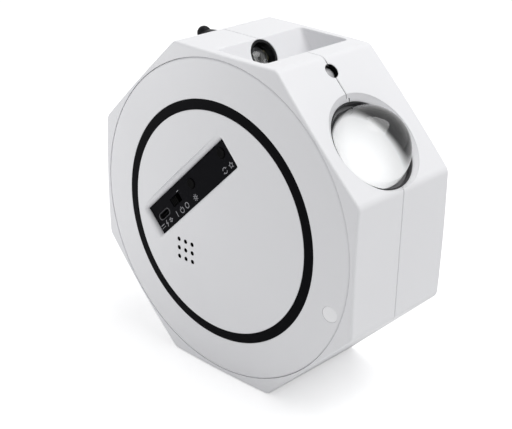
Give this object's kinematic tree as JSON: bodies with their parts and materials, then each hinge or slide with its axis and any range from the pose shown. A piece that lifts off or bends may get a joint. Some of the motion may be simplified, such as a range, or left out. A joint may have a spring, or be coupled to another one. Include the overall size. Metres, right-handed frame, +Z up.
{
  "type": "planetarium projector",
  "caption": "White octagonal star and nebula projector with a slanted projection lens, a round front plate with a sunk control strip, a finger notch and a dimmer knob.",
  "frame": {"origin": "on the rest face, under the middle of the housing", "axes": "+X to the right seen from the front, +Y from the front to the back, +Z up"},
  "size_m": [0.15, 0.071, 0.15],
  "materials": {
    "housing_white": "fine satin, moulded",
    "ring_black": "satin",
    "window": "clear, frosted behind",
    "panel_black": "satin to gloss, moulded",
    "barrel_black": "matte",
    "inner_black": "matte",
    "inner_white": "plain, moulded",
    "lens_glass": "polished",
    "film": "printed film",
    "lamp": "clear yellow lamp body",
    "bright_metal": "bright, drawn",
    "motor_steel": "plated",
    "sink_aluminium": "as cut",
    "outlet_grey": "smooth, moulded",
    "board_green": "lacquered board",
    "screw_steel": "plated"
  },
  "bodies": {
    "housing": {"front_shell": "housing_white", "rear_shell": "housing_white", "front_plate": "housing_white", "trim_ring": "ring_black", "remote_window": "window", "control_panel": "panel_black", "power_socket": "bright_metal", "socket_tongue": "inner_black", "power_switch": "bright_metal", "tactile_switches": "inner_black", "control_board": "board_green", "speaker_basket": "barrel_black", "speaker_cone": "inner_black", "speaker_magnet": "motor_steel", "lens_barrel": "barrel_black", "projection_lens": "lens_glass", "lens_retaining_ring": "barrel_black", "optical_frame": "barrel_black", "motor": "motor_steel", "light_shroud": "inner_white", "condenser_lens": "lens_glass", "led_lamp": "lamp", "heat_sink": "sink_aluminium", "laser_module": "outlet_grey", "side_lens_barrel": "panel_black", "side_lens": "lens_glass", "side_lamp": "lamp", "potentiometer": "bright_metal", "main_board": "board_green", "remote_receiver": "inner_black", "housing_screws": "screw_steel", "frame_screws": "screw_steel", "board_screws": "screw_steel"},
    "film_wheel": {"film_wheel": "inner_white", "film_disc": "film"},
    "pinion": {"motor_pinion": "inner_white", "motor_shaft": "bright_metal"},
    "slider": {"power_slider": "panel_black"},
    "light_button": {"light_button": "panel_black", "light_plunger": "bright_metal"},
    "mode_button": {"mode_button": "panel_black", "mode_plunger": "bright_metal"},
    "knob": {"control_knob": "panel_black", "knob_shaft": "bright_metal"}
  },
  "joints": [
    {"name": "film_wheel_spin", "type": "hinge", "parent": "housing", "child": "film_wheel", "pos_m": [0.04226, -0.0012, 0.1034], "axis": [0.7071, 0, 0.7071], "continuous": true},
    {"name": "pinion_spin", "type": "hinge", "parent": "housing", "child": "pinion", "pos_m": [0.06206, -0.0012, 0.0836], "axis": [0.7071, 0, 0.7071], "continuous": true},
    {"name": "power_slide", "type": "slide", "parent": "housing", "child": "slider", "axis": [0.7071, 0, 0.7071], "range_m": [0, 0.0026]},
    {"name": "light_press", "type": "slide", "parent": "housing", "child": "light_button", "axis": [0, 1, 0], "range_m": [0, 0.0005], "stiffness_N_per_m": 400},
    {"name": "mode_press", "type": "slide", "parent": "housing", "child": "mode_button", "axis": [0, 1, 0], "range_m": [0, 0.0005], "stiffness_N_per_m": 400},
    {"name": "knob_turn", "type": "hinge", "parent": "housing", "child": "knob", "pos_m": [-0.03696, -0.0012, 0.14264], "axis": [-0.7071, 0, 0.7071], "range_deg": [-140, 140]}
  ],
  "couplings": [
    {"joint": "pinion_spin", "follows": "film_wheel_spin", "ratio": -3.6667}
  ]
}
